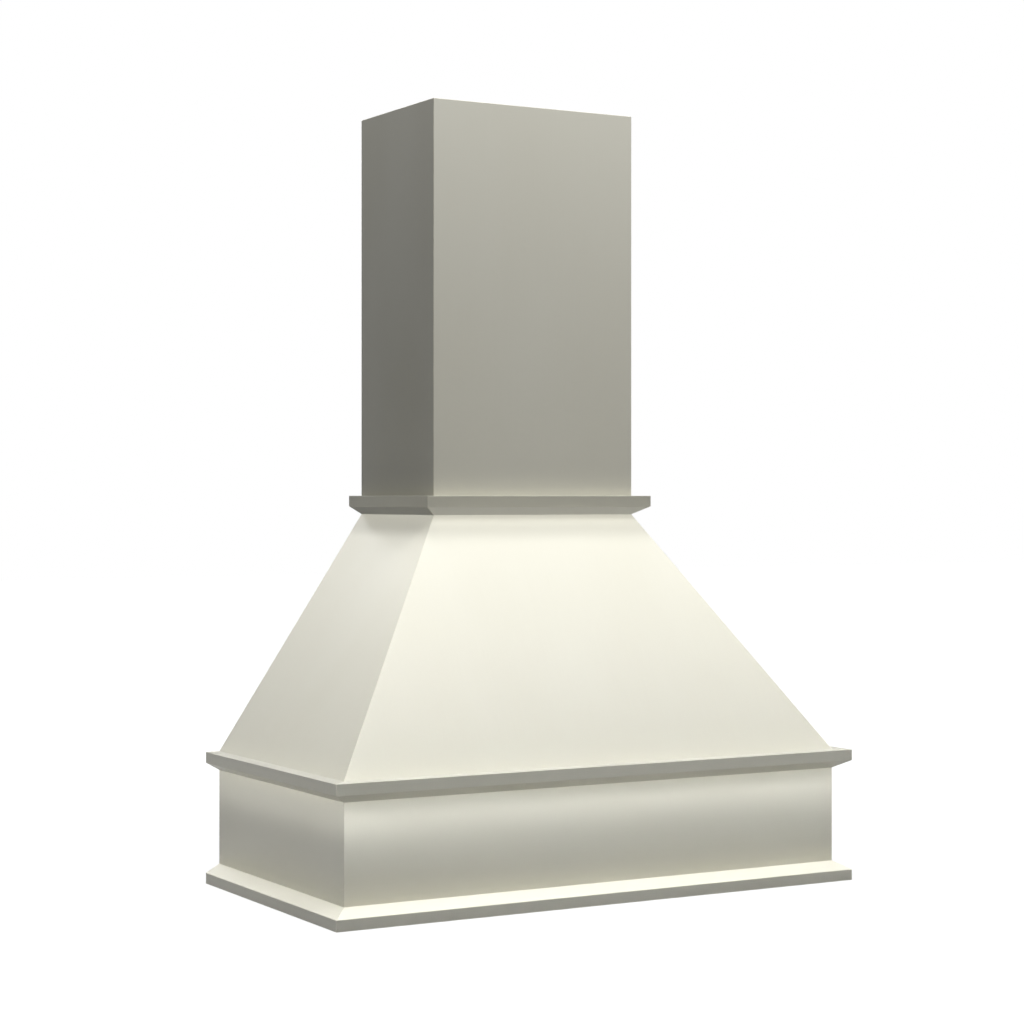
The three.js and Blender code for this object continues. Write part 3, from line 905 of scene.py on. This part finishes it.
screwShape = {
    "neck": 0.42, "core": 0.36, "threadStart": 0.2, "threadEnd": 0.38, "ridge": 0.12,  # shares of the shank
    "starInner": 0.19, "starOuter": 0.28,  # shares of the head
    "recess": -0.62,  # share of the sink, downwards
    "rim": 0.0003, "point": 0.005, "runout": 0.001, "headSides": 28, "shankSides": 16,
}


# a countersunk screw with a star recess and a rolled thread; its head's face is at z = 0
def buildScrewTree():
    given, give = newGroup("woodScrew", [
        ("Geometry", "Geometry"), ("Length", "Float", 0.03), ("Shank", "Float", 0.0042),
        ("Head", "Float", 0.008), ("Sink", "Float", 0.0026), ("Thread", "Float", 0.022),
        ("Pitch", "Float", 0.0022), ("Seed", "Int", 1), ("Finish", "Material"),
    ], [("Geometry", "Geometry")], "GeometryNodeTree")
    length, shank, head, sink, thread = given[1:6]

    def part(whole, name):
        return times(whole, screwShape[name])

    rim, point, runout, headSides, shankSides = (
        screwShape[name] for name in ("rim", "point", "runout", "headSides", "shankSides"))
    headRadius, core = times(head, 0.5), part(shank, "core")
    cone = shapeOf("MeshCone", Vertices=headSides, Radius_Top=headRadius, Radius_Bottom=part(shank, "neck"),
                   Depth=minus(sink, rim))
    disc = shapeOf("MeshCylinder", Vertices=headSides, Radius=headRadius, Depth=rim)
    solid = addNode(disc.id_data, "GeometryNodeMeshBoolean", operation="UNION")
    fill(solid.inputs[1], lifted(cone, times(sink, -1.0)))
    fill(solid.inputs[1], shapeOf("Transform", Geometry=disc, Translation=(0, 0, -rim / 2)))
    star = shapeOf("CurveStar", Points=6, Inner_Radius=part(head, "starInner"),
                   Outer_Radius=part(head, "starOuter"))
    line = shapeOf("CurvePrimitiveLine", Start=vectorOf(0, 0, part(sink, "recess")), End=(0, 0, mm))
    driver = shapeOf("CurveToMesh", Curve=line, Profile_Curve=star, Fill_Caps=True)
    recessed = derived("GeometryNodeMeshBoolean", {0: solid.outputs[0], 1: driver}, operation="DIFFERENCE")
    bodyLength = minus(minus(length, sink), point)
    body = shapeOf("MeshCylinder", Vertices=shankSides, Radius=core, Depth=bodyLength)
    bodyMiddle = times(plus(sink, times(bodyLength, 0.5)), -1.0)
    tip = shapeOf("MeshCone", Vertices=shankSides, Radius_Top=core, Radius_Bottom=0.0, Depth=point)
    spiral = shapeOf("CurveSpiral", Resolution=14, Rotations=over(thread, given["Pitch"]), Height=thread,
                     Start_Radius=part(shank, "threadStart"), End_Radius=part(shank, "threadEnd"))
    ridge = shapeOf("CurvePrimitiveCircle", Resolution=3, Radius=part(shank, "ridge"))
    winding = shapeOf("CurveToMesh", Curve=spiral, Profile_Curve=ridge, Fill_Caps=True)
    whole = joined(recessed, lifted(body, bodyMiddle), lifted(tip, times(length, -1.0)),
                   lifted(winding, times(minus(length, runout), -1.0)))
    return endGroup(give, scatter(given["Geometry"], whole, given, 0.0, 2 * pi))


bradShape = {"headHeight": 0.0005, "wire": 0.6, "twist": 0.25}  # wire is a share of the head's width


# brads in rows along guide edges, of which only the small heads show
def buildBradTree():
    given, give = newGroup("bradRow", [
        ("Geometry", "Geometry"), ("Spacing", "Float", 0.12), ("Width", "Float", 0.0019),
        ("Depth", "Float", 0.0012), ("Length", "Float", 0.025), ("Seed", "Int", 1), ("Finish", "Material"),
    ], [("Geometry", "Geometry")], "GeometryNodeTree")
    width, depth, length = given[2:5]
    rows = shapeOf("MeshToCurve", Mesh=given["Geometry"])
    spaced = derived("GeometryNodeResampleCurve", {"Curve": rows, "Length": given["Spacing"]}, mode="LENGTH")
    head = shapeOf("MeshCube", Size=vectorOf(width, depth, bradShape["headHeight"]))
    wire = shapeOf("MeshCube", Size=vectorOf(times(width, bradShape["wire"]), depth, length))
    whole = joined(head, lifted(wire, times(length, -0.5)))
    return endGroup(give, scatter(spaced, whole, given, -bradShape["twist"], bradShape["twist"]))


brads = {  # rows by the node that they go into, and the way that its face looks
    "spacing": 0.11, "length": 24 * mm,
    "inset": 28 * mm, "unevenInset": (0.6, 1.8),  # from the row's ends
    "wander": 2.5 * mm,  # off the row's line
    "rows": [
        *((f"chimney_corner_batten_{side}", rightwards * -way) for side, way in sideWay.items()),
        *((f"chimney_corner_batten_{side}", backwards) for side in sideWay),
        *((f"top_batten_{side}", rightwards * -way) for side, way in sideWay.items()),
        ("top_batten_front", backwards), ("canopy_front_rib", Vector((0, 0.88, -0.47))),
        *((f"hip_batten_{side}", Vector((-way, 1, -1.2))) for side, way in sideWay.items()),
        *((f"band_corner_block_{side}", Vector((-way, 1, 0))) for side, way in sideWay.items()),
    ],
}


# the two ends of a row of brads along the face of a node that looks nearest to a direction
def bradRow(node, outwards):
    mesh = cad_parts[node].data
    normal = max((face.normal.copy() for face in mesh.polygons), key=lambda normal: normal.dot(outwards))
    spots = {mesh.vertices[i].co.to_tuple(5) for face in mesh.polygons
             if face.normal.dot(normal) > sameWay for i in face.vertices}
    spots = [Vector(spot) for spot in sorted(spots)]
    longest = max((b - a for a in spots for b in spots), key=lambda reach: reach.length)
    spots.sort(key=longest.dot)
    middle = len(spots) // 2
    near, far = middleOf(spots[:middle]), middleOf(spots[middle:])
    line = (far - near).normalized()
    sideways = normal.cross(line)
    return [(end + way * line * brads["inset"] * dice.uniform(*brads["unevenInset"])
             + sideways * dice.uniform(-1, 1) * brads["wander"], normal)
            for end, way in ((near, 1), (far, -1))]


# runs a tree over guide points, or over guide edges between pairs of them, and keeps the mesh
def grow(name, tree, seats, slotName, nodes=(), edges=(), **values):
    mesh = bpy.data.meshes.new(name)
    mesh.from_pydata([point for point, aim in seats], edges, [])
    aims = mesh.attributes.new("aim", "FLOAT_VECTOR", "POINT")
    for spot, (point, aim) in zip(aims.data, seats):
        spot.vector = aim
    guide = newObject(name, mesh)
    maker = guide.modifiers.new("maker", "NODES")
    maker.node_group = tree
    sockets = {item.name: item.identifier for item in tree.interface.items_tree if item.in_out == "INPUT"}
    for label, value in values.items():
        maker[sockets[label]] = value
    settle(guide)
    return finishPiece(name, meshBack(guide), [values["Finish"]], nodes)


def growScrews(name, seats, size, finish, slotName, nodes=()):
    values = {label.capitalize(): value for label, value in size.items()}
    grow(name, screwTree, seats, slotName, nodes, Finish=finish, **values)


print("cover: screws and brads")
screwTree, bradTree = buildScrewTree(), buildBradTree()
framingSeats = [(headOf(screw, way), -way) for screw, (held, way) in framingScrews.items()]
growScrews("framing_screws", framingSeats, framingScrew, yellowSteel, "yellow_zinc", list(framingScrews))
growScrews("pocket_screws", pocketSeats, pocketScrew, yellowSteel, "yellow_zinc")
growScrews("bracket_screws", bracketSeats, bracketScrew, zincSteel, "zinc_steel")
bradSeats = [end for node, outwards in brads["rows"] for end in bradRow(node, outwards)]
pairs = [(i, i + 1) for i in range(0, len(bradSeats), 2)]
grow("framing_brads", bradTree, bradSeats, "zinc_steel", edges=pairs, Spacing=brads["spacing"],
     Length=brads["length"], Finish=zincSteel)


view = {"place": (-1.9762, -3.3934, 0.6488), "turn": -29.7616, "lens": 82.1, "shift": -0.01575}
studio = {
    "ambient": (0.01, 0.01, 0.01, 1),
    "floor": {
        "half": 14, "grey": 0.12, "mottle": 0.03, "cloud": (0.4, 0.4, 0.4), "roughness": 0.9, "specular": 0.1,
        "nearGlow": 0.86, "near": 0.7, "far": 1.6,  # less white up to near, and white from far on
    },
    "lamps": {  # the size is width by height; the spread is that of a grid before the lamp
        "overhead": {"watts": 112.0, "size": (2.0, 2.0), "place": (-0.2, -0.2, 5.2), "aim": (0, 0, 0)},
        "fill": {"watts": 155.0, "size": (2.0, 2.0), "place": (-0.2, -0.2, 5.2), "aim": (0, 0, 0),
                 "shadows": False},
        "key": {"watts": 71.5, "size": (1.6, 1.6), "place": (0.9, -3.0, 3.7), "aim": (0, 0, 0.5)},
        "back": {"watts": 16.0, "size": (1.6, 1.6), "place": (0.5, 3.6, 2.0), "aim": (0, 0.2, 0.6)},
        "wash": {"watts": 0.73, "size": (2.0, 0.45), "place": (0.0, -3.0, 1.7), "aim": (0, -0.25, 0.17),
                 "spread": 14},
        "leftWash": {"watts": 0.36, "size": (1.0, 0.45), "place": (-2.9, -0.5, 1.5),
                     "aim": (-0.46, -0.02, 0.14), "spread": 14},
    },
}


def makeCamera():
    data = bpy.data.cameras.new("camera")
    data.lens, data.shift_y = view["lens"], view["shift"]
    camera = newObject("camera", data)
    camera.location = view["place"]
    camera.rotation_euler = (radians(90), 0, radians(view["turn"]))
    scene.camera = camera
    scene.view_settings.view_transform = "Standard"


# one wherever the camera, a reflection or clear glass sees it
def seenMask(tree):
    path = addNode(tree, "ShaderNodeLightPath").outputs
    seen = calc("MAXIMUM", path["Is Camera Ray"], path["Is Glossy Ray"])
    return calc("MAXIMUM", seen, path["Is Transmission Ray"])


def makeWorld():
    world = bpy.data.worlds.new("studio")
    world.use_nodes = True
    tree = world.node_tree
    colour = blendColour(seenMask(tree), studio["ambient"], (1, 1, 1, 1))
    fill(tree.nodes["Background"].inputs["Color"], colour)
    scene.world = world


# pale and matt; towards the horizon it turns into the backdrop, and from below it can't be seen
def makeFloor():
    spec = studio["floor"]
    bm = bmesh.new()
    bmesh.ops.create_grid(bm, x_segments=1, y_segments=1, size=spec["half"])
    sheet = objectFrom("floor", bm)
    material, tree, shader = startMaterial("paleFloor")
    place = objectPlace(tree)
    darkest, palest = (spec["grey"] * (1 + way * spec["mottle"]) for way in (-1, 1))
    fill(shader["Base Color"], fade(noiseOf(place, spec["cloud"]), 0.3, 0.7, darkest, palest))
    fill(shader["Roughness"], spec["roughness"])
    fill(shader["Specular IOR Level"], spec["specular"])
    fill(shader["Emission Color"], (1, 1, 1, 1))
    distance = vectorCalc("LENGTH", place, output="Value")
    glow = fade(distance, spec["near"], spec["far"], spec["nearGlow"], 1.0)
    fill(shader["Emission Strength"], times(seenMask(tree), glow))
    fill(shader["Alpha"], minus(1.0, outputOf(tree, "ShaderNodeNewGeometry", output="Backfacing")))
    sheet.data.materials.append(material)
    filledOnes.objects.link(sheet)


def makeLamp(name, watts, size, place, aim, spread=180, shadows=True):
    data = bpy.data.lights.new(name, "AREA")
    data.shape, data.use_shadow = "RECTANGLE", shadows
    data.energy, data.spread = watts, radians(spread)
    data.size, data.size_y = size
    lamp = newObject(name, data)
    if not shadows:
        lamp.light_linking.receiver_collection = filledOnes
    lamp.location = place
    lamp.rotation_euler = (Vector(aim) - lamp.location).to_track_quat("-Z", "Y").to_euler()


print("cover: studio")
makeCamera()
makeWorld()
makeFloor()
for name, spec in studio["lamps"].items():
    makeLamp(name, **spec)
